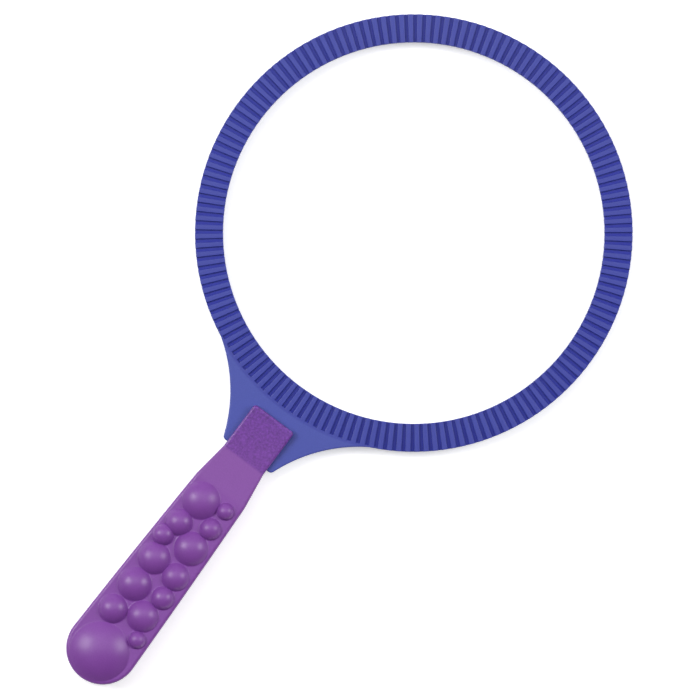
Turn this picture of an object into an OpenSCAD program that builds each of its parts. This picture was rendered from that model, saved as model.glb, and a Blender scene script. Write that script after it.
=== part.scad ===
// Large bubble wand: a grooved hoop that plugs into a hollow handle made of two shells.
// The wand lies on its back. +Z leaves its front face, +Y runs towards the hoop and -Y
// towards the end of the grip. Lengths are in millimetres and angles in degrees.

/* [Hoop] */
// Outer diameter of the hoop
hoop_d = 228.6; // [190:0.2:320]
// Width of the grooved band, from the mouth to the outer edge
band_w = 14.7; // [8:0.1:24]
// Thickness of the band over its ribs
band_t = 6; // [4:0.1:10]
// Thickness of the web that joins the ribs
web_t = 3; // [1:0.1:4]
// How far the ribs reach past both edges of the web
rib_overhang = 0.05; // [0.05:0.05:1]
// Bevel round the ends of the ribs
rib_bevel = 0.4; // [0.1:0.05:1]
// Number of grooves on each face
groove_count = 148; // [60:2:180]
// Share of the pitch that a groove takes
groove_share = 0.39; // [0.25:0.01:0.6]

/* [Yoke] */
// Distance from the hoop's outer edge to the lower edge of the ears
yoke_len = 31.1; // [27:0.1:50]
// Thickness of the yoke and its tongue
yoke_t = 5.9; // [3:0.1:8]
// Width across the ears, before their corners are rounded
ear_w = 31.3; // [28:0.1:44]
// Corner radius of the ears
ear_r = 2.4; // [0.5:0.1:4]
// Angle from the handle's axis at which the flanks leave the hoop
flank_angle = 28.4; // [22:0.2:36]
// How far inside the hoop's outer edge the flanks and the plate begin
yoke_bite = 0.9; // [0.3:0.1:2]
// Length of the tongue below the ears
tongue_len = 2.8; // [1.5:0.1:6]

/* [Handle] */
// Width of the two cheeks that hold the yoke
cheek_w = 25.6; // [20:0.1:27]
// How far the cheeks reach up over the yoke
fork_depth = 24.3; // [12:0.1:26]
// Thickness of a cheek at its tip
cheek_tip_t = 3.8; // [2:0.1:4.5]
// Corner radius at the tip of the cheeks
cheek_r = 1.8; // [1.5:0.1:4]
// Length of the neck, from the tongue to the grip
neck_len = 19.8; // [12:0.1:40]
// Width of the grip where it meets the neck
grip_start_w = 31.2; // [27:0.1:40]
// Width of the grip at its round end
grip_end_w = 38.2; // [32:0.1:50]
// How far each side of the grip swells past the straight line between those widths
grip_bow = 0.25; // [0:0.05:1.5]
// Length of the grip, from the neck to the centre of its round end
grip_len = 102.6; // [80:0.1:140]
// Thickness of the grip without its domes
grip_t = 14; // [12:0.1:22]
// Wall thickness of both shells
wall = 2; // [1.2:0.1:2.6]
// Radius of the rim round both shells
rim_r = 1.7; // [0.4:0.1:2]
// Radius of the corners inside the shells
inner_r = 0.7; // [0.3:0.1:1]
// Height of the lip of the front shell that locates the rear one
lip_h = 1.2; // [0.6:0.1:2]

/* [Domes] */
// Height of a dome before its own size is counted
dome_lift = 3; // [2:0.1:4]
// Extra height of a dome, as a share of the radius of its base
dome_rise_share = 0.18; // [0:0.01:0.3]

/* [Fits] */
// Gap between each face of the yoke and the cheek over it
slide_gap = 0.2; // [0.1:0.05:0.4]
// Gap between the ears and the shoulders of the handle
seat_gap = 0.2; // [0.1:0.05:0.5]
// Diameter of the pins that join the shells
pin_d = 3.2; // [2:0.1:4]
// How far a pin reaches into the rear shell
pin_reach = 3; // [2:0.1:3.5]
// Gap round a pin in its socket
pin_gap = 0.05; // [0.02:0.01:0.2]
// Gap between the lip and the rear shell
lip_gap = 0.1; // [0.05:0.05:0.2]
// Wall of the post round a pin or a socket
post_wall = 1.5; // [1:0.1:2.4]

/* [Hidden] */

hoop_colour = "#4b51a6";
handle_colour = "#8757a4";
round_fn = 96;
hoop_fn = 360;
overrun = 1;

// Distances along the handle, measured from the centre of the hoop
ear_s = hoop_d / 2 + yoke_len;
cheek_tip_s = ear_s - fork_depth;
shoulder_s = ear_s + seat_gap;
root_s = ear_s + tongue_len;
neck_end_s = root_s + neck_len;
round_s = neck_end_s + grip_len;
handle_end_s = round_s + grip_end_w / 2;

// Heights of the handle's faces above the parting plane
slot_h = yoke_t / 2 + slide_gap;
cheek_tip_h = slot_h + cheek_tip_t;
root_h = slot_h + wall;
grip_h = grip_t / 2;

// Place of the hoop's centre when the whole wand is centred and lies on the grip's back
hoop_y = (handle_end_s - hoop_d / 2) / 2;

pitch = 360 / groove_count;
groove_angle = pitch * groove_share;
rib_angle = pitch - groove_angle;

flank_steps = 24;
ear_steps = 5;
corner_steps = 4;
side_steps = 6;
round_steps = 14;
rim_steps = 4;

// Each dome: place across as a share of the grip's half width there, place along as a share of
// the grip's length, and base radius as a share of that half width
dome_shares = [
    [-0.307, 0.099, 0.627], [0.539, 0.070, 0.286], [0.477, 0.188, 0.356],
    [-0.443, 0.254, 0.429], [-0.604, 0.353, 0.340], [0.339, 0.327, 0.540],
    [-0.375, 0.475, 0.497], [0.468, 0.489, 0.423], [0.526, 0.614, 0.345],
    [-0.365, 0.641, 0.500], [0.370, 0.749, 0.462], [-0.430, 0.807, 0.419],
    [0.630, 0.862, 0.248], [-0.013, 1.022, 0.822]
];

// Each post, placed in the same shares
post_shares = [[0, -0.09], [-0.5, 0.2], [0.5, 0.2], [-0.5, 0.62], [0.5, 0.62], [0, 1]];

function arc(centre, r, from, to, steps) = [
    for (i = [0 : steps])
        let (a = from + (to - from) * i / steps)
        centre + r * [cos(a), sin(a)]
];
function mirrored(points) = [for (i = [len(points) - 1 : -1 : 0]) [-points[i].x, points[i].y]];

// The concave flank of the yoke is an arc that leaves the hoop on a tangent and ends at the ear
flank_from = (hoop_d / 2 - yoke_bite / 2) * [sin(flank_angle), -cos(flank_angle)];
flank_dir = [sin(flank_angle), -cos(flank_angle)];
ear_corner = [ear_w / 2, -ear_s];
flank_chord = ear_corner - flank_from;
flank_r = (flank_chord * flank_chord) / (2 * (ear_corner * flank_dir - norm(flank_from)));
flank_centre = flank_from + flank_r * flank_dir;

// The rounded ear touches the flank's arc and the lower edge
ear_y = -ear_s + ear_r;
ear_rise = ear_y - flank_centre.y;
ear_x = flank_centre.x - sqrt((flank_r + ear_r) ^ 2 - ear_rise ^ 2);
ear_tangent = atan2(ear_rise, flank_centre.x - ear_x);

inner_half_w = cheek_w / 2 - wall;
tongue_half_w = inner_half_w - slide_gap;
plate_r = hoop_d / 2 - yoke_bite;

module band_profile() {
    inner = hoop_d / 2 - band_w;
    outer = hoop_d / 2;
    top = band_t / 2;
    polygon([
        [inner, top - rib_bevel], [inner + rib_bevel, top],
        [outer - rib_bevel, top], [outer, top - rib_bevel],
        [outer, rib_bevel - top], [outer - rib_bevel, -top],
        [inner + rib_bevel, -top], [inner, rib_bevel - top]
    ]);
}

// The thin web, narrower than the band because the ribs reach past it
module web() {
    translate([hoop_d / 2 - band_w + rib_overhang, -web_t / 2])
        square([band_w - 2 * rib_overhang, web_t]);
}

// Half the outline of the yoke, from the flank's start down to the tongue
yoke_right = concat(
    arc(flank_centre, flank_r, 90 + flank_angle, 180 - ear_tangent, flank_steps),
    arc([ear_x, ear_y], ear_r, -ear_tangent, -90, ear_steps),
    [[tongue_half_w, -ear_s], [tongue_half_w, -root_s]]
);

module yoke() {
    inner_arc = arc([0, 0], plate_r, -90 - flank_angle, -90 + flank_angle, flank_steps);
    translate([0, 0, -yoke_t / 2])
        linear_extrude(yoke_t)
        polygon(concat(yoke_right, mirrored(yoke_right), inner_arc));
}

module hoop_body() {
    rotate_extrude($fn = hoop_fn) web();
    for (i = [0 : groove_count - 1])
        rotate(i * pitch + groove_angle / 2 - 90)
        rotate_extrude(angle = rib_angle, $fn = hoop_fn) band_profile();
    yoke();
}

function half_w(s) =
    let (t = max(0, min(1, (s - neck_end_s) / grip_len)))
    4 * grip_bow * t * (1 - t) + lookup(s, [
        [cheek_tip_s, cheek_w / 2], [root_s, cheek_w / 2],
        [neck_end_s, grip_start_w / 2], [round_s, grip_end_w / 2]
    ]);
function face_h(s) = lookup(s, [
    [cheek_tip_s, cheek_tip_h], [root_s, root_h], [neck_end_s, grip_h], [round_s, grip_h]
]);

// Right-hand edge of the handle from its start to just before the middle of the round end,
// drawn in by inset
function edge(inset, start, corner) = concat(
    [for (i = [0 : corner_steps])
        let (a = 90 - 90 * i / corner_steps)
        [cheek_w / 2 - inset - corner * (1 - cos(a)), start + corner * (1 - sin(a))]],
    [[cheek_w / 2 - inset, root_s]],
    [for (i = [0 : side_steps - 1])
        let (s = neck_end_s + grip_len * i / side_steps)
        [half_w(s) - inset, s]],
    [for (i = [0 : round_steps - 1])
        let (a = 90 * i / round_steps, r = grip_end_w / 2 - inset)
        [r * cos(a), round_s + r * sin(a)]]
);
function ring(inset, start, corner) =
    let (right = edge(inset, start, corner))
    concat(right, [[0, handle_end_s - inset]], mirrored(right));

// A closed half of the handle above the plane z = base. Rings of the outline climb the side and
// turn over the rim, and strips from edge to edge close the top.
module half_body(inset, start, corner, rim, base) {
    levels = concat([[0, undef], [0, 0]], [for (i = [1 : rim_steps]) [1, 90 * i / rim_steps]]);
    rings = [
        for (l = levels)
            let (e = l[0] == 0 ? 0 : rim * (1 - cos(l[1])))
            let (drop = l[0] == 0 ? rim : rim * (1 - sin(l[1])))
            [for (p = ring(inset + e, start + e, corner - e))
                [p.x, -p.y, l[1] == undef ? base : face_h(p.y) - inset - drop]]
    ];
    n = len(rings[0]);
    half = (n - 1) / 2;
    top = (len(rings) - 1) * n;
    points = [for (r = rings) for (p = r) p];
    sides = [
        for (k = [0 : len(rings) - 2]) for (i = [0 : n - 1])
            let (a = k * n + i, b = k * n + (i + 1) % n)
            each [[a, b, b + n], [a, b + n, a + n]]
    ];
    function strips(at, up) = [
        for (i = [0 : half - 1])
            let (a = at + i, b = at + i + 1, c = at + n - 2 - i, d = at + n - 1 - i)
            each (i == half - 1 ? [up ? [a, b, d] : [a, d, b]]
                : up ? [[a, b, c], [a, c, d]] : [[a, c, b], [a, d, c]])
    ];
    polyhedron(points, concat(sides, strips(top, true), strips(0, false)));
}

function dome_r(d) = d[2] * half_w(neck_end_s + d[1] * grip_len);
function dome_h(r) = dome_lift + dome_rise_share * r;

// The balls whose caps are the domes, drawn in by skin and cut off below the height floor_h
module domes(skin, floor_h) {
    intersection() {
        for (d = dome_shares) {
            s = neck_end_s + d[1] * grip_len;
            r = dome_r(d);
            ball_r = (r ^ 2 + dome_h(r) ^ 2) / (2 * dome_h(r));
            translate([d[0] * half_w(s), -s, grip_h + dome_h(r) - ball_r])
                sphere(ball_r - skin, $fn = round_fn);
        }
        translate([-grip_end_w, -handle_end_s - overrun, floor_h])
            cube([2 * grip_end_w, handle_end_s, grip_end_w]);
    }
}

module at_posts() {
    for (p = post_shares) {
        s = neck_end_s + p[1] * grip_len;
        translate([p[0] * half_w(s), -s, 0]) children();
    }
}

// The space inside a shell, with the posts left standing in it
module hollow(has_domes) {
    difference() {
        union() {
            half_body(wall, shoulder_s - 2 * inner_r, inner_r, inner_r, -overrun);
            if (has_domes) domes(wall, grip_h - wall - overrun);
        }
        at_posts()
            translate([0, 0, -2 * overrun])
            cylinder(d = pin_d + 2 * post_wall, h = grip_t + 2 * overrun, $fn = round_fn);
    }
}

module fork_slot() {
    translate([-cheek_w, -shoulder_s, -overrun])
        cube([2 * cheek_w, fork_depth + seat_gap + overrun, slot_h + overrun]);
}

// The band of wall, from inset to the inside face, that carries the lip or its recess
module lip_band(inset, start, h) {
    module area(inset, start) {
        polygon([for (p = ring(inset, start, inner_r)) [p.x, -p.y]]);
    }
    linear_extrude(h) difference() {
        area(inset, start);
        area(wall, start - overrun);
    }
}

module shell(has_domes) {
    difference() {
        union() {
            half_body(0, cheek_tip_s, cheek_r, rim_r, 0);
            if (has_domes) domes(0, grip_h - wall / 2);
        }
        hollow(has_domes);
        fork_slot();
    }
}

module in_place() {
    translate([0, hoop_y, grip_h]) children();
}

module hoop() {
    color(hoop_colour) in_place() hoop_body();
}

module handle_front() {
    color(handle_colour) in_place() {
        shell(true);
        translate([0, 0, -lip_h]) lip_band(wall / 2 + lip_gap, root_s, 2 * lip_h);
        at_posts()
            translate([0, 0, -pin_reach])
            cylinder(d = pin_d, h = 2 * pin_reach, $fn = round_fn);
    }
}

module handle_rear() {
    color(handle_colour) in_place() difference() {
        mirror([0, 0, 1]) shell(false);
        translate([0, 0, -lip_h - lip_gap]) lip_band(wall / 2, root_s - lip_gap, 2 * lip_h);
        at_posts()
            translate([0, 0, -pin_reach - pin_gap])
            cylinder(d = pin_d + 2 * pin_gap, h = pin_reach + pin_gap + overrun, $fn = round_fn);
    }
}

hoop();
handle_front();
handle_rear();
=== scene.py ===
import bmesh
import bpy
import math
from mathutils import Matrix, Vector
from mathutils.geometry import tessellate_polygon


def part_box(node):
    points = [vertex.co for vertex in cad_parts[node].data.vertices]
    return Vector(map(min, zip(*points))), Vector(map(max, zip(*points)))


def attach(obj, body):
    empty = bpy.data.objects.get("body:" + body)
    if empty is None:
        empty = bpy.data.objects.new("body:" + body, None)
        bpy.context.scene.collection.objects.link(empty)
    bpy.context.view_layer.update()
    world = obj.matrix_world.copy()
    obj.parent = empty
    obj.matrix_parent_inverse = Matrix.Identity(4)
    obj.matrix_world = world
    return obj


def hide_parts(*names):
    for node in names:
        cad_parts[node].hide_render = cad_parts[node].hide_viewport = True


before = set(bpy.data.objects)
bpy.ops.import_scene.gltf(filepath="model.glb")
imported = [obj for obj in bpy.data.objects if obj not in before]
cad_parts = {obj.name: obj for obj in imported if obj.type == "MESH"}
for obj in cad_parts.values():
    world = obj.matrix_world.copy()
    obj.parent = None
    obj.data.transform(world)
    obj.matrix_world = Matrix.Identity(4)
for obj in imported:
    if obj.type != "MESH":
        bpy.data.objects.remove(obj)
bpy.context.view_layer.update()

# Bubble wand lying face up: a grooved blue hoop plugged into a hollow purple handle.
# Sizes in the dictionaries are millimetres and degrees. Along the handle, s is the distance
# from the centre of the hoop.

mm = 0.001
weldDistance = 0.001  # mm, points closer than this become one
boxFaces = [(0, 1, 3, 2), (4, 6, 7, 5), (0, 4, 5, 1), (2, 3, 7, 6), (0, 2, 6, 4), (1, 5, 7, 3)]
scene = bpy.context.scene

hoopLow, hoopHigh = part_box("hoop")
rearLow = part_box("handle_rear")[0]
hoopRadius = (hoopHigh[0] - hoopLow[0]) / 2 / mm
hoopCentreY = hoopHigh[1] - hoopRadius * mm
midZ = (hoopLow[2] + hoopHigh[2]) / 2
handleEnd = (hoopCentreY - rearLow[1]) / mm
print("frame loaded, hoop radius", round(hoopRadius, 2), "mm, handle end at", round(handleEnd, 2), "mm")


def place(x, s, z):  # millimetres on the wand to metres in the frame
    return Vector((x * mm, hoopCentreY - s * mm, midZ + z * mm))


def hexToLinear(text):
    channels = [int(text[i:i + 2], 16) / 255 for i in (1, 3, 5)]
    linear = [c / 12.92 if c <= 0.04045 else ((c + 0.055) / 1.055) ** 2.4 for c in channels]
    return (*linear, 1.0)


def addNode(tree, kind, inputs=None, **settings):  # one node with its settings, values and links
    node = tree.nodes.new(kind)
    for name, value in settings.items():
        setattr(node, name, value)
    for name, value in (inputs or {}).items():
        if isinstance(value, bpy.types.Node):
            value = value.outputs[0]
        if isinstance(value, bpy.types.NodeSocket):
            tree.links.new(value, node.inputs[name])
        else:
            node.inputs[name].default_value = value
    return node


def makeObject(name, mesh, material):
    mesh.name = name
    if material and not mesh.materials:
        mesh.materials.append(material)
    piece = bpy.data.objects.new(name, mesh)
    scene.collection.objects.link(piece)
    return piece


def closedMesh(name, points, faces):  # faces turned outwards, doubles merged
    mesh = bpy.data.meshes.new(name)
    mesh.from_pydata(points, [], faces)
    work = bmesh.new()
    work.from_mesh(mesh)
    bmesh.ops.remove_doubles(work, verts=work.verts, dist=weldDistance * mm)
    bmesh.ops.recalc_face_normals(work, faces=work.faces)
    work.to_mesh(mesh)
    work.free()
    return mesh


def turned(name, x, s, profile, steps):  # profile of (radius, z) swept round an upright axis
    points, faces, n = [], [], len(profile)
    sides = n - 1 if profile[0][0] == 0 else n  # one that starts on the axis ends there too
    for i in range(steps):
        a = math.tau * i / steps
        points += [place(x + r * math.cos(a), s + r * math.sin(a), z) for r, z in profile]
        j = (i + 1) % steps
        faces += [(i * n + k, i * n + (k + 1) % n, j * n + (k + 1) % n, j * n + k) for k in range(sides)]
    return closedMesh(name, points, faces)


def arcPoints(centreX, centreY, radius, start, end, steps):
    angles = [math.radians(start + (end - start) * i / steps) for i in range(steps + 1)]
    return [(centreX + radius * math.cos(a), centreY + radius * math.sin(a)) for a in angles]


def softenShading(mesh, sharpAngle):  # smooth faces, with an edge kept sharp past the angle
    work = bmesh.new()
    work.from_mesh(mesh)
    for face in work.faces:
        face.smooth = True
    for edge in work.edges:
        edge.smooth = len(edge.link_faces) == 2 and edge.calc_face_angle(0) < math.radians(sharpAngle)
    work.to_mesh(mesh)
    work.free()


def bakedMesh(piece):  # the evaluated mesh as plain data, with the modifiers taken off
    graph = bpy.context.evaluated_depsgraph_get()
    mesh = bpy.data.meshes.new_from_object(piece.evaluated_get(graph))
    piece.modifiers.clear()
    piece.data = mesh
    return mesh


def levelFlats(piece):  # flat faces stay flat beside their rounded edges
    flatWeight = 80
    smooth = piece.modifiers.new("levelFlats", "WEIGHTED_NORMAL")
    smooth.keep_sharp = True
    smooth.weight = flatWeight


def joined(name, meshes, material):  # several closed meshes as one piece
    work = bmesh.new()
    for mesh in meshes:
        work.from_mesh(mesh)
    mesh = bpy.data.meshes.new(name)
    work.to_mesh(mesh)
    work.free()
    return makeObject(name, mesh, material)


# Materials

plasticLook = {
    "hoopBlue": "#38419C",
    "hoopBlueDeep": "#363E99",
    "paintedGrooveShade": "#152294",     # painted shade: the floors of the grooves are drawn deeper in colour than the ribs' tops, standing in for the shade down in them
    "yokeBlue": "#434EA3",       # the flat yoke is drawn paler than the ribs' tops
    "handlePurple": "#7F469C",
    "handlePurpleDeep": "#7D449A",
    "paintedShowThroughAndShade": "#6A3995",     # painted show-through and painted shade: a darker, bluer tone on the cheeks standing in for the blue web seen through the thin plastic and for the cheeks' shade
    "refraction": 1.49,
    "smoothest": 0.33,           # roughness of the best polished and of the dullest places
    "dullest": 0.42,
    "blotch": 26.0,              # mm, slow change of tone across a moulding
    "grain": 0.7,                # mm, the tool's fine spark finish, drawn coarser than it is
    "grainChange": 0.04,         # share by which the grain lightens and darkens the tone
    "mottle": 1.1,               # mm, coarse moulded texture on the cheeks
    "mottleChange": 0.36,
    "mottleDepth": 3.0,          # height of the mottle as a multiple of the grain's
    "bumpStrength": 0.6,
    "bumpHeight": 0.05,          # mm
    "noiseRoughness": 0.55,
    "noiseLow": 0.3,             # nearly all values of a noise lie between these two
    "noiseHigh": 0.7,
    "toneLow": 0.35,             # deep tone where the blotches are below this
    "toneHigh": 0.65,            # plain tone where they are above this
}
maskEdges = {                    # mm, where a patch of another tone begins and ends
    "cheekFade": 0.5,            # either side of the bend at the root of the cheeks
    "cheekRootShare": 0.6,       # share of the patch's painted tone left at that bend
    "grooveFull": 0.9,           # below the ribs' tops
    "grooveNone": 0.3,
    "bandFull": 0.5,             # inside both edges of the band
    "bandNone": 0.06,
    "yokeNone": 0.1,             # outside the ribbed ring
    "yokeFull": 1.2,
}


def cheekPaintedShadeMask(tree, coords):  # 1 at the cheeks' tips, fading a little towards the neck, 0 from there down; where the web's show-through and the cheeks' shade are painted
    along = addNode(tree, "ShaderNodeSeparateXYZ", {"Vector": coords}).outputs["Y"]
    root, tip = hoopCentreY - rootS * mm, hoopCentreY - tipS * mm
    fade = maskEdges["cheekFade"] * mm
    above = addNode(tree, "ShaderNodeMapRange", {
        "Value": along, "From Min": root - fade, "From Max": root + fade})
    fading = addNode(tree, "ShaderNodeMapRange", {
        "Value": along, "From Min": root, "From Max": tip, "To Min": maskEdges["cheekRootShare"]})
    return addNode(tree, "ShaderNodeMath", {0: above, 1: fading}, operation="MULTIPLY")


def hoopPlace(tree, coords):  # distance from the hoop's axis, and height above its middle plane
    offset = addNode(tree, "ShaderNodeVectorMath", {0: coords, 1: place(0, 0, 0)}, operation="SUBTRACT")
    flat = addNode(tree, "ShaderNodeVectorMath", {0: offset, 1: (1, 1, 0)}, operation="MULTIPLY")
    away = addNode(tree, "ShaderNodeVectorMath", {0: flat}, operation="LENGTH").outputs["Value"]
    return away, addNode(tree, "ShaderNodeSeparateXYZ", {"Vector": offset}).outputs["Z"]


def paintedGrooveShadeMask(tree, coords):  # 1 down in the grooves, where their shade is painted into the colour, 0 on the ribs' tops and on both edges of the band
    middle, half = hoopRadius - hoopSizes["bandWidth"] / 2, hoopSizes["bandWidth"] / 2
    top = hoopSizes["bandHeight"] / 2
    away, height = hoopPlace(tree, coords)
    fromMiddle = addNode(tree, "ShaderNodeMath", {0: away, 1: middle * mm}, operation="SUBTRACT")
    aside = addNode(tree, "ShaderNodeMath", {0: fromMiddle}, operation="ABSOLUTE")
    level = addNode(tree, "ShaderNodeMath", {0: height}, operation="ABSOLUTE")
    deep = addNode(tree, "ShaderNodeMapRange", {
        "Value": level, "From Min": (top - maskEdges["grooveFull"]) * mm,
        "From Max": (top - maskEdges["grooveNone"]) * mm, "To Min": 1.0, "To Max": 0.0})
    within = addNode(tree, "ShaderNodeMapRange", {
        "Value": aside, "From Min": (half - maskEdges["bandFull"]) * mm,
        "From Max": (half - maskEdges["bandNone"]) * mm, "To Min": 1.0, "To Max": 0.0})
    return addNode(tree, "ShaderNodeMath", {0: deep, 1: within}, operation="MULTIPLY")


def yokeMask(tree, coords):  # 1 on the flat yoke outside the ribbed ring
    away = hoopPlace(tree, coords)[0]
    return addNode(tree, "ShaderNodeMapRange", {
        "Value": away, "From Min": (hoopRadius + maskEdges["yokeNone"]) * mm,
        "From Max": (hoopRadius + maskEdges["yokeFull"]) * mm})


def polypropylene(name, tone, deepTone, patches):
    # Injection-moulded polypropylene: it looks waxy and half glossy, a little uneven in tone, with
    # the fine grain of a spark-finished mould. A patch has a mask, a tone and a share of mottle; some patches
    # paint shade or show-through into the colour.
    look = plasticLook
    material = bpy.data.materials.new(name)
    material.use_nodes = True
    tree = material.node_tree
    tree.nodes.clear()
    coords = addNode(tree, "ShaderNodeTexCoord").outputs["Object"]
    blotch, grain, mottle = [
        addNode(tree, "ShaderNodeTexNoise", {
            "Vector": coords, "Scale": 1 / (look[size] * mm), "Detail": detail,
            "Roughness": look["noiseRoughness"]})
        for size, detail in (("blotch", 3.0), ("grain", 2.0), ("mottle", 4.0))]
    toneShare = addNode(tree, "ShaderNodeMapRange", {
        "Value": blotch, "From Min": look["toneLow"], "From Max": look["toneHigh"]})
    colour = addNode(tree, "ShaderNodeMix", {
        0: toneShare, 6: hexToLinear(deepTone), 7: hexToLinear(tone)}, data_type="RGBA").outputs[2]
    speck = 0.0
    for mask, patchTone, mottleShare in patches:
        inPatch = mask(tree, coords)
        colour = addNode(tree, "ShaderNodeMix", {
            0: inPatch, 6: colour, 7: hexToLinear(patchTone)}, data_type="RGBA").outputs[2]
        speck = addNode(tree, "ShaderNodeMath", {0: inPatch, 1: mottleShare, 2: speck},
                        operation="MULTIPLY_ADD")
    noiseSpan = {"From Min": look["noiseLow"], "From Max": look["noiseHigh"]}
    coarse = addNode(tree, "ShaderNodeMapRange", {
        "Value": mottle, **noiseSpan, "To Min": -look["mottleChange"], "To Max": look["mottleChange"]})
    fine = addNode(tree, "ShaderNodeMapRange", {
        "Value": grain, **noiseSpan, "To Min": 1 - look["grainChange"], "To Max": 1 + look["grainChange"]})
    brightness = addNode(tree, "ShaderNodeMath", {0: speck, 1: coarse, 2: fine}, operation="MULTIPLY_ADD")
    shade = addNode(tree, "ShaderNodeHueSaturation", {"Color": colour, "Value": brightness})
    bumps = addNode(tree, "ShaderNodeMath", {0: mottle, 1: speck}, operation="MULTIPLY")
    height = addNode(tree, "ShaderNodeMath", {0: bumps, 1: look["mottleDepth"], 2: grain},
                     operation="MULTIPLY_ADD")
    bump = addNode(tree, "ShaderNodeBump", {
        "Strength": look["bumpStrength"], "Distance": look["bumpHeight"] * mm, "Height": height})
    roughness = addNode(tree, "ShaderNodeMapRange", {
        "Value": blotch, **noiseSpan, "To Min": look["smoothest"], "To Max": look["dullest"]})
    shader = addNode(tree, "ShaderNodeBsdfPrincipled", {
        "Base Color": shade, "Normal": bump, "IOR": look["refraction"], "Roughness": roughness})
    addNode(tree, "ShaderNodeOutputMaterial", {"Surface": shader})
    return material


# Hoop

hoopSizes = {
    "bandWidth": 14.7, "bandHeight": 6.0, "webHeight": 3.6, "webCorner": 0.25,
    "grooves": 148, "grooveShare": 0.39, "ribOverhang": 0.04, "ribBevel": 0.4,
    "yokeHeight": 5.94, "yokeLength": 31.1, "earWidth": 31.3, "earRadius": 2.4,
    "flankAngle": 28.4, "yokeBite": 0.9, "tongueLength": 2.8, "tongueHalfWidth": 10.6,
    "yokeEdge": 0.7,
    "biteEdgeShare": 0.6,        # share of that edge's inset where the yoke runs in under the ribs
    "webSteps": 592, "bevelSteps": 3, "flankSteps": 40, "earSteps": 8, "biteSteps": 48,
    "edgeSteps": 4,
    "fadeSteps": 10,             # points over which the rounded edge fades out at the ring
    "sharpAngle": 50,
}
earS = hoopRadius + hoopSizes["yokeLength"]


def webMesh():
    h = hoopSizes
    inner = hoopRadius - h["bandWidth"] + h["ribOverhang"]
    outer = hoopRadius - h["ribOverhang"]
    top, soft = h["webHeight"] / 2, h["webCorner"]
    profile = [(inner, -top + soft), (inner, top - soft), (inner + soft, top), (outer - soft, top),
               (outer, top - soft), (outer, -top + soft), (outer - soft, -top), (inner + soft, -top)]
    return turned("web", 0, 0, profile, h["webSteps"])


def ribMesh():  # one rib across the web, softened on all its edges
    h = hoopSizes
    inner, outer = hoopRadius - h["bandWidth"], hoopRadius
    halfAngle = math.radians(180 / h["grooves"] * (1 - h["grooveShare"]))
    top = h["bandHeight"] / 2
    corners = [Vector((r * mm, side * r * math.tan(halfAngle) * mm, z * mm))
               for r in (inner, outer) for side in (-1, 1) for z in (-top, top)]
    mesh = closedMesh("rib", corners, boxFaces)
    work = bmesh.new()
    work.from_mesh(mesh)
    rims = [e for e in work.edges if abs(e.verts[0].co.z - e.verts[1].co.z) < weldDistance * mm]
    bmesh.ops.bevel(work, geom=rims, offset=h["ribBevel"] * mm, segments=h["bevelSteps"], profile=0.5,
                    affect="EDGES")
    work.to_mesh(mesh)
    work.free()
    return mesh


def yokeOutline():  # (x, s, share of the edge's inset) down the right side, up the left, back over the bite
    h = hoopSizes
    angle = math.radians(h["flankAngle"])
    direction = Vector((math.sin(angle), math.cos(angle)))
    start = (hoopRadius - h["yokeBite"] / 2) * direction
    ear = Vector((h["earWidth"] / 2, earS))
    chord = ear - start
    flankRadius = chord.length_squared / (2 * (ear.dot(direction) - start.length))
    centre = start + flankRadius * direction
    earRadius = h["earRadius"]
    rise = centre.y - (earS - earRadius)
    earX = centre.x - math.sqrt((flankRadius + earRadius) ** 2 - rise ** 2)
    touch = math.degrees(math.atan2(rise, centre.x - earX))
    flank = arcPoints(centre.x, centre.y, flankRadius, 270 - h["flankAngle"], 180 + touch, h["flankSteps"])
    right = [(x, s, min(1.0, i / h["fadeSteps"])) for i, (x, s) in enumerate(flank)]
    right += [(x, s, 1.0) for x, s in arcPoints(earX, earS - earRadius, earRadius, touch, 90, h["earSteps"])]
    right += [(h["tongueHalfWidth"], earS, 1.0), (h["tongueHalfWidth"], earS + h["tongueLength"], 1.0)]
    left = [(-x, s, share) for x, s, share in reversed(right)]
    inner, last = hoopRadius - h["yokeBite"], h["biteSteps"]
    bite = [(x, s, min(h["biteEdgeShare"], min(i, last - i) / h["fadeSteps"])) for i, (x, s) in enumerate(
        arcPoints(0, 0, inner, 90 + h["flankAngle"], 90 - h["flankAngle"], last))]
    return right + left + bite


def insetLoop(loop, distance):  # every corner moved inwards along the mitre of its two sides
    sharpestMitre = 0.5
    n = len(loop)
    turning = sum(loop[i - 1][0] * loop[i][1] - loop[i][0] * loop[i - 1][1] for i in range(n))
    side = 1 if turning > 0 else -1
    moved = []
    for i in range(n):
        here = Vector(loop[i][:2])
        before = (here - Vector(loop[i - 1][:2])).normalized()
        after = (Vector(loop[(i + 1) % n][:2]) - here).normalized()
        across = Vector((-before.y - after.y, before.x + after.x)) * side
        mitre = across / max(sharpestMitre, 1 + before.dot(after))
        moved.append(here + mitre * distance * loop[i][2])
    return moved


def yokeMesh():  # flat plate with rounded edges on both faces
    h = hoopSizes
    outline, top, edge = yokeOutline(), h["yokeHeight"] / 2, h["yokeEdge"]
    angles = [math.radians(90 * i / h["edgeSteps"]) for i in range(h["edgeSteps"] + 1)]
    rings = [(insetLoop(outline, edge * (1 - math.cos(a))), top - edge * (1 - math.sin(a))) for a in angles]
    order = [(ring, -z) for ring, z in reversed(rings)] + rings
    n = len(outline)
    points = [place(p[0], p[1], z) for ring, z in order for p in ring]
    faces = [(k * n + i, k * n + (i + 1) % n, (k + 1) * n + (i + 1) % n, (k + 1) * n + i)
             for k in range(len(order) - 1) for i in range(n)]
    cap = tessellate_polygon([[Vector((p[0], p[1], 0)) for p in rings[-1][0]]])
    faces += [tuple(reversed(t)) for t in cap]
    faces += [tuple(i + (len(order) - 1) * n for i in t) for t in cap]
    return closedMesh("yoke", points, faces)


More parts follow.
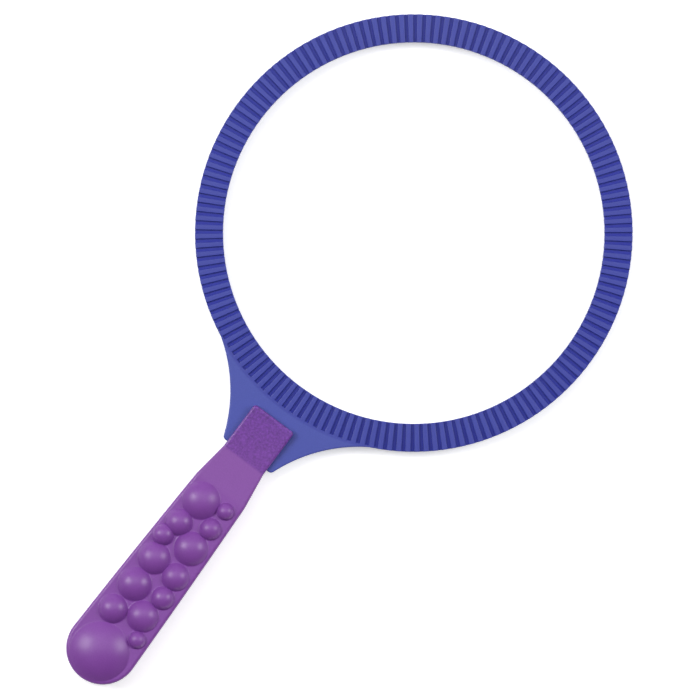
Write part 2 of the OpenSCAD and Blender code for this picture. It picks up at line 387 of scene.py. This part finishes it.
def ribRingTree():  # instances one rib round the hoop's axis and joins the rest of the moulding
    tree = bpy.data.node_groups.new("ribRing", "GeometryNodeTree")
    face = tree.interface
    face.new_socket("Geometry", in_out="OUTPUT", socket_type="NodeSocketGeometry")
    for name, kind in (("Geometry", "Geometry"), ("Rib", "Object"), ("Ribs", "Int"), ("First angle", "Float"),
                       ("Centre", "Vector"), ("Plastic", "Material")):
        face.new_socket(name, in_out="INPUT", socket_type="NodeSocket" + kind)
    given = addNode(tree, "NodeGroupInput").outputs
    points = addNode(tree, "GeometryNodePoints", {"Count": given["Ribs"], "Position": given["Centre"]})
    pitch = addNode(tree, "ShaderNodeMath", {0: math.tau, 1: given["Ribs"]}, operation="DIVIDE")
    index = addNode(tree, "GeometryNodeInputIndex")
    turn = addNode(tree, "ShaderNodeMath", {0: index, 1: pitch, 2: given["First angle"]},
                   operation="MULTIPLY_ADD")
    euler = addNode(tree, "ShaderNodeCombineXYZ", {"Z": turn})
    rotation = addNode(tree, "FunctionNodeEulerToRotation", {0: euler})
    rib = addNode(tree, "GeometryNodeObjectInfo", {"Object": given["Rib"]}, transform_space="ORIGINAL")
    ring = addNode(tree, "GeometryNodeInstanceOnPoints", {
        "Points": points, "Instance": rib.outputs["Geometry"], "Rotation": rotation})
    both = addNode(tree, "GeometryNodeJoinGeometry", {"Geometry": ring})
    tree.links.new(given["Geometry"], both.inputs["Geometry"])
    real = addNode(tree, "GeometryNodeRealizeInstances", {"Geometry": both})
    dressed = addNode(tree, "GeometryNodeSetMaterial", {"Geometry": real, "Material": given["Plastic"]})
    addNode(tree, "NodeGroupOutput", {"Geometry": dressed})
    return tree


def makeHoop(material):
    parts = [webMesh(), yokeMesh(), ribMesh()]
    for mesh in parts:
        softenShading(mesh, hoopSizes["sharpAngle"])
    hoop = joined("hoopMoulding", parts[:-1], material)
    rib = makeObject("ribShape", parts[-1], material)
    tree = ribRingTree()
    modifier = hoop.modifiers.new("ribs", "NODES")
    modifier.node_group = tree
    socketIds = {item.name: item.identifier for item in tree.interface.items_tree if item.in_out == "INPUT"}
    halfPitch = math.pi / hoopSizes["grooves"]
    values = {"Rib": rib, "Ribs": hoopSizes["grooves"], "First angle": -math.pi / 2 + halfPitch,
              "Centre": place(0, 0, 0), "Plastic": material}
    for name, value in values.items():
        modifier[socketIds[name]] = value
    levelFlats(hoop)
    bakedMesh(hoop)
    bpy.data.objects.remove(rib)
    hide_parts("hoop")
    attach(hoop, "hoop")
    print("hoop:", len(hoop.data.polygons), "faces,", hoopSizes["grooves"], "ribs")


# Handle

handleSizes = {
    "cheekWidth": 25.6, "forkDepth": 24.3, "cheekTip": 3.8, "cheekCorner": 1.8,
    "neckLength": 19.8, "gripStart": 31.2, "gripBow": 0.25, "gripEnd": 38.2, "gripLength": 102.6,
    "gripHeight": 14.0, "wall": 2.0, "headRim": 1.1, "gripRim": 1.7, "innerCorner": 0.7,
    "bendEase": 0.8,             # half the stretch over which the front face bends
    "slideGap": 0.2, "seatGap": 0.2,
    "seamDepth": 0.18, "seamHeight": 0.2, "seamGap": 0.02,
    "postWidth": 6.2, "postGap": 0.03, "postSink": 1.2, "neckPostRise": 1.2,
    "pinWidth": 3.2, "pinReach": 3.0, "pinRoot": 0.5,
    "domeLift": 3.0, "domeRiseShare": 0.18, "domeSpread": 0.35,
    "domeFootShare": 0.08, "domeFootMost": 0.9,
    "overrun": 1.0,              # how far a cutter reaches past what it cuts
    "cornerSteps": 8, "gripSteps": 12, "roundSteps": 48, "rimSteps": 6, "bendSteps": 4,
    "cheekPoints": (3, 10),      # how far the outline's next points lie from the corner at the tips
    "bendSpacing": 0.4,          # between the outline's points at the two bends
    "rootPoints": 4, "neckPoints": 8,  # points on either side of each bend
    "capSteps": 20, "footSteps": 5, "domeSides": 72, "postSides": 32,
    "sharpAngle": 32,
}
tipS = earS - handleSizes["forkDepth"]
shoulderS = earS + handleSizes["seatGap"]
rootS = earS + hoopSizes["tongueLength"]
neckEndS = rootS + handleSizes["neckLength"]
roundS = neckEndS + handleSizes["gripLength"]
slotHeight = hoopSizes["yokeHeight"] / 2 + handleSizes["slideGap"]
gripTop = handleSizes["gripHeight"] / 2

# across as a share of the grip's half width there, along as a share of the grip's length,
# and radius as a share of the half width
domeShares = [
    (-0.307, 0.099, 0.627), (0.539, 0.070, 0.286), (0.477, 0.188, 0.356), (-0.443, 0.254, 0.429),
    (-0.604, 0.353, 0.340), (0.339, 0.327, 0.540), (-0.375, 0.475, 0.497), (0.468, 0.489, 0.423),
    (0.526, 0.614, 0.345), (-0.365, 0.641, 0.500), (0.370, 0.749, 0.462), (-0.430, 0.807, 0.419),
    (0.630, 0.862, 0.248), (-0.013, 1.022, 0.822),
]
postShares = [(0, -0.09), (-0.5, 0.2), (0.5, 0.2), (-0.5, 0.62), (0.5, 0.62), (0, 1)]


def between(s, stations):  # straight line through (s, value) stations, level past both ends
    if s <= stations[0][0]:
        return stations[0][1]
    for (s0, v0), (s1, v1) in zip(stations, stations[1:]):
        if s <= s1:
            return v0 + (v1 - v0) * (s - s0) / (s1 - s0)
    return stations[-1][1]


def faceHeight(s):  # height of the front face, with its two bends eased
    h = handleSizes
    stations = [(tipS, slotHeight + h["cheekTip"]), (rootS, slotHeight + h["wall"]),
                (neckEndS, gripTop), (roundS, gripTop)]
    nearby = [s + h["bendEase"] * i / h["bendSteps"] for i in range(-h["bendSteps"], h["bendSteps"] + 1)]
    return sum(between(max(t, tipS), stations) for t in nearby) / len(nearby)


def halfWidth(s):
    h = handleSizes
    t = min(1.0, max(0.0, (s - neckEndS) / h["gripLength"]))
    straight = between(s, [(rootS, h["cheekWidth"] / 2), (neckEndS, h["gripStart"] / 2),
                           (roundS, h["gripEnd"] / 2)])
    return straight + 4 * h["gripBow"] * t * (1 - t)


def rimRadius(s):
    return between(s, [(rootS, handleSizes["headRim"]), (neckEndS, handleSizes["gripRim"])])


def edgeRow(start, corner):  # right-hand edge as (x, s, nx, ns), the normal pointing outwards
    h = handleSizes
    row = []
    for i in range(h["cornerSteps"] + 1):
        a = math.radians(90 - 90 * i / h["cornerSteps"])
        row.append((h["cheekWidth"] / 2 - corner * (1 - math.cos(a)), start + corner * (1 - math.sin(a)),
                    math.cos(a), -math.sin(a)))
    straight = [start + corner + distance for distance in h["cheekPoints"]]
    for bendS, count in ((rootS, h["rootPoints"]), (neckEndS, h["neckPoints"])):
        straight += [bendS + h["bendSpacing"] * i for i in range(-count, count + 1)]
    straight += [neckEndS + h["gripLength"] * i / h["gripSteps"] for i in range(1, h["gripSteps"])]
    row += [(halfWidth(s), s, 1.0, 0.0) for s in sorted(straight)]
    radius = h["gripEnd"] / 2
    for i in range(h["roundSteps"]):
        a = math.radians(90 * i / h["roundSteps"])
        row.append((radius * math.cos(a), roundS + radius * math.sin(a), math.cos(a), math.sin(a)))
    return row


def loftHalf(name, rows, levels, sign):  # rings of the outline joined up the side, capped both ends
    full = rows + [(0.0, handleEnd, 0.0, 1.0)] + [(-x, s, -nx, ns) for x, s, nx, ns in reversed(rows)]
    n, points, faces = len(full), [], []
    for inset, height in levels:
        for x, s, nx, ns in full:
            d = inset(s)
            points.append(place(x - nx * d, s - ns * d, sign * height(s - ns * d)))
    for k in range(len(levels) - 1):
        for i in range(n):
            j = (i + 1) % n
            faces.append((k * n + i, k * n + j, (k + 1) * n + j, (k + 1) * n + i))
    half = (n - 1) // 2
    for base in (0, (len(levels) - 1) * n):
        for i in range(half - 1):
            faces.append((base + i, base + i + 1, base + n - 2 - i, base + n - 1 - i))
        faces.append((base + half - 1, base + half, base + half + 1))
    return closedMesh(name, points, faces)


def shellOutside(sign):
    h = handleSizes
    levels = [(lambda s: h["seamDepth"], lambda s: h["seamGap"]),
              (lambda s: 0.0, lambda s: h["seamHeight"])]
    for i in range(h["rimSteps"] + 1):
        a = math.radians(90 * i / h["rimSteps"])
        levels.append((lambda s, a=a: rimRadius(s) * (1 - math.cos(a)),
                       lambda s, a=a: faceHeight(s) - rimRadius(s) * (1 - math.sin(a))))
    return loftHalf("outside", edgeRow(tipS, h["cheekCorner"]), levels, sign)


def shellInside(sign):  # the hollow, which also makes the pocket for the tongue
    h = handleSizes
    start = shoulderS - 2 * h["innerCorner"]
    levels = [(lambda s: h["wall"], lambda s: -h["overrun"]),
              (lambda s: h["wall"], lambda s: faceHeight(s) - h["wall"])]
    return loftHalf("inside", edgeRow(start - h["wall"], h["innerCorner"] + h["wall"]), levels, sign)


def slotMesh(sign):  # the room between the cheeks, open at their tips and sides
    h = handleSizes
    points = [place(x, s, sign * z) for x in (-h["cheekWidth"], h["cheekWidth"])
              for s in (tipS - 2 * h["overrun"], shoulderS) for z in (-h["overrun"], slotHeight)]
    return closedMesh("slot", points, boxFaces)


def domeMesh(across, along, share):  # a ball's cap with a small fillet at its foot
    h = handleSizes
    s = neckEndS + along * h["gripLength"]
    width = halfWidth(s)
    rise = h["domeLift"] + h["domeRiseShare"] * share * width
    footR = share * width + h["domeSpread"]
    reach = (footR ** 2 + rise ** 2) / (2 * rise)  # radius of the ball and its fillet together
    foot = min(h["domeFootShare"] * reach, h["domeFootMost"])
    ball, ballZ = reach - foot, gripTop + rise - reach + foot
    touch = math.atan2(footR, gripTop + foot - ballZ)  # where the fillet leaves the ball
    angles = [touch * i / h["capSteps"] for i in range(h["capSteps"] + 1)]
    profile = [(ball * math.sin(a), ballZ + ball * math.cos(a)) for a in angles]
    angles = [touch * (1 - i / h["footSteps"]) for i in range(1, h["footSteps"] + 1)]
    profile += [(footR - foot * math.sin(a), gripTop + foot - foot * math.cos(a)) for a in angles]
    profile += [(footR, gripTop - h["wall"] / 2), (0.0, gripTop - h["wall"] / 2)]
    return turned("dome", across * width, s, profile, h["domeSides"])


def postMesh(across, along, low, high, width):
    s = neckEndS + along * handleSizes["gripLength"]
    profile = [(0.0, low), (width / 2, low), (width / 2, high), (0.0, high)]
    return turned("post", across * halfWidth(s), s, profile, handleSizes["postSides"])


def posts(sign):  # one at the neck, which is lower than the rest
    h = handleSizes
    made = []
    for across, along in postShares:
        top = gripTop - h["postSink"] if along > 0 else slotHeight + h["neckPostRise"]
        made.append(postMesh(across, along, sign * h["postGap"], sign * top, h["postWidth"]))
    return made


def pins():  # they stand on the front shell and reach down into the rear one's posts
    h = handleSizes
    return [postMesh(*shares, -h["pinReach"], h["pinRoot"], h["pinWidth"]) for shares in postShares]


def makeShell(name, node, sign, material):
    body = makeObject(name, shellOutside(sign), material)
    cutters = [makeObject("cutter", mesh, None) for mesh in (shellInside(sign), slotMesh(sign))]
    for cutter in cutters:
        cut = body.modifiers.new("cut", "BOOLEAN")
        cut.operation = "DIFFERENCE"
        cut.solver = "MANIFOLD"
        cut.object = cutter
    shell = bakedMesh(body)
    for cutter in cutters:
        bpy.data.objects.remove(cutter)
    extras = posts(sign)
    if sign > 0:
        extras += [domeMesh(*share) for share in domeShares] + pins()
    work = bmesh.new()
    for mesh in [shell] + extras:
        work.from_mesh(mesh)
    work.to_mesh(shell)
    work.free()
    softenShading(shell, handleSizes["sharpAngle"])
    levelFlats(body)
    bakedMesh(body)
    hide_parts(node)
    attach(body, "handle")
    print(name + ":", len(body.data.polygons), "faces")


# Stage: pale floor, two soft boxes at the sides, a wide soft light above, camera straight down

stageSizes = {
    "photoWidth": 365.8,            # across the picture at the height of the hoop
    "cameraHeight": 3000.0, "clipEnd": 20000.0, "sensor": 36.0, "roll": 36.85,
    "aimX": 9.965, "aimS": 68.865,  # what lies at the middle of the picture
    "lampAimS": 130.0,
    "floor": "#F4F4F4", "floorGlow": 0.48, "floorReach": 6000.0,
    "floorDrop": 0.1,               # so that the paper and the grip's back don't share a plane
    "worldLow": 0.0, "worldHigh": 0.4,  # strength at the bottom and the top of the picture
}
# right and up in the picture as angles from straight above, then distance, width, height and power
lamps = {
    "leftBox": (-41, 21, 2600, 1150, 1150, 39),
    "rightBox": (51, 16, 2600, 1000, 1000, 30),
    "overhead": (0, 20, 3800, 3200, 2800, 37),
}
roll = math.radians(stageSizes["roll"])
pictureRight = Vector((math.cos(roll), math.sin(roll), 0))
pictureUp = Vector((-math.sin(roll), math.cos(roll), 0))


def makeCamera():
    p = stageSizes
    camera = bpy.data.objects.new("camera", bpy.data.cameras.new("camera"))
    scene.collection.objects.link(camera)
    camera.location = place(p["aimX"], p["aimS"], p["cameraHeight"])
    camera.rotation_euler = (0, 0, roll)
    camera.data.sensor_width = p["sensor"]
    camera.data.lens = p["sensor"] * p["cameraHeight"] / p["photoWidth"]
    camera.data.clip_end = p["clipEnd"] * mm
    scene.camera = camera


def makeLamps():
    aim = place(stageSizes["aimX"], stageSizes["lampAimS"], 0)
    for name, (sideways, upwards, distance, width, height, power) in lamps.items():
        light = bpy.data.lights.new(name, "AREA")
        light.shape = "RECTANGLE"
        light.size = width * mm
        light.size_y = height * mm
        light.energy = power
        lamp = bpy.data.objects.new(name, light)
        scene.collection.objects.link(lamp)
        across = pictureRight * math.tan(math.radians(sideways)) + pictureUp * math.tan(math.radians(upwards))
        way = (Vector((0, 0, 1)) + across).normalized()
        lamp.location = aim + way * distance * mm
        lamp.rotation_euler = way.to_track_quat("Z", "Y").to_euler()


def makeWorld():
    world = bpy.data.worlds.new("studio")
    scene.world = world
    world.use_nodes = True
    tree = world.node_tree
    tree.nodes.clear()
    way = addNode(tree, "ShaderNodeTexCoord").outputs["Generated"]
    upwards = addNode(tree, "ShaderNodeVectorMath", {0: way, 1: pictureUp}, operation="DOT_PRODUCT")
    strength = addNode(tree, "ShaderNodeMapRange", {
        "Value": upwards.outputs["Value"], "From Min": -1.0,
        "To Min": stageSizes["worldLow"], "To Max": stageSizes["worldHigh"]})
    back = addNode(tree, "ShaderNodeBackground", {"Color": (1, 1, 1, 1), "Strength": strength})
    addNode(tree, "ShaderNodeOutputWorld", {"Surface": back})


def makeFloor():
    # Matt white paper: a plain diffuse sheet, which the camera sees lifted to white by a little glow
    material = bpy.data.materials.new("whitePaper")
    material.use_nodes = True
    tree = material.node_tree
    tree.nodes.clear()
    paper = addNode(tree, "ShaderNodeBsdfDiffuse", {"Color": hexToLinear(stageSizes["floor"])})
    glow = addNode(tree, "ShaderNodeEmission", {"Strength": stageSizes["floorGlow"]})
    lifted = addNode(tree, "ShaderNodeAddShader", {0: paper, 1: glow})
    rays = addNode(tree, "ShaderNodeLightPath").outputs
    through = {0: rays["Is Glossy Ray"], 1: rays["Is Transmission Ray"]}
    mirrored = addNode(tree, "ShaderNodeMath", through, operation="MAXIMUM")
    seen = addNode(tree, "ShaderNodeMath", {0: rays["Is Camera Ray"], 1: mirrored}, operation="MAXIMUM")
    mix = addNode(tree, "ShaderNodeMixShader", {0: seen, 1: paper, 2: lifted})
    addNode(tree, "ShaderNodeOutputMaterial", {"Surface": mix})
    mesh = bpy.data.meshes.new("floor")
    reach, under = stageSizes["floorReach"] * mm, -stageSizes["floorDrop"] * mm
    corners = [(-reach, -reach, under), (reach, -reach, under), (reach, reach, under), (-reach, reach, under)]
    mesh.from_pydata(corners, [], [(0, 1, 2, 3)])
    makeObject("floor", mesh, material)


makeCamera()
makeLamps()
makeWorld()
makeFloor()
print("stage ready")

# the groove patch paints shade onto the grooves' floors; the yoke patch makes the flat yoke paler
hoopPatches = [(yokeMask, plasticLook["yokeBlue"], 0.0), (paintedGrooveShadeMask, plasticLook["paintedGrooveShade"], 0.0)]
hoopPlastic = polypropylene("moulded polypropylene blue", plasticLook["hoopBlue"],
                            plasticLook["hoopBlueDeep"], hoopPatches)
# the cheek patch paints the web's show-through and the cheeks' shade, and carries their real moulded mottle
handlePatches = [(cheekPaintedShadeMask, plasticLook["paintedShowThroughAndShade"], 1.0)]
handlePlastic = polypropylene("moulded polypropylene purple", plasticLook["handlePurple"],
                              plasticLook["handlePurpleDeep"], handlePatches)
makeHoop(hoopPlastic)
makeShell("frontShell", "handle_front", 1, handlePlastic)
makeShell("rearShell", "handle_rear", -1, handlePlastic)

scene.view_settings.view_transform = "Standard"
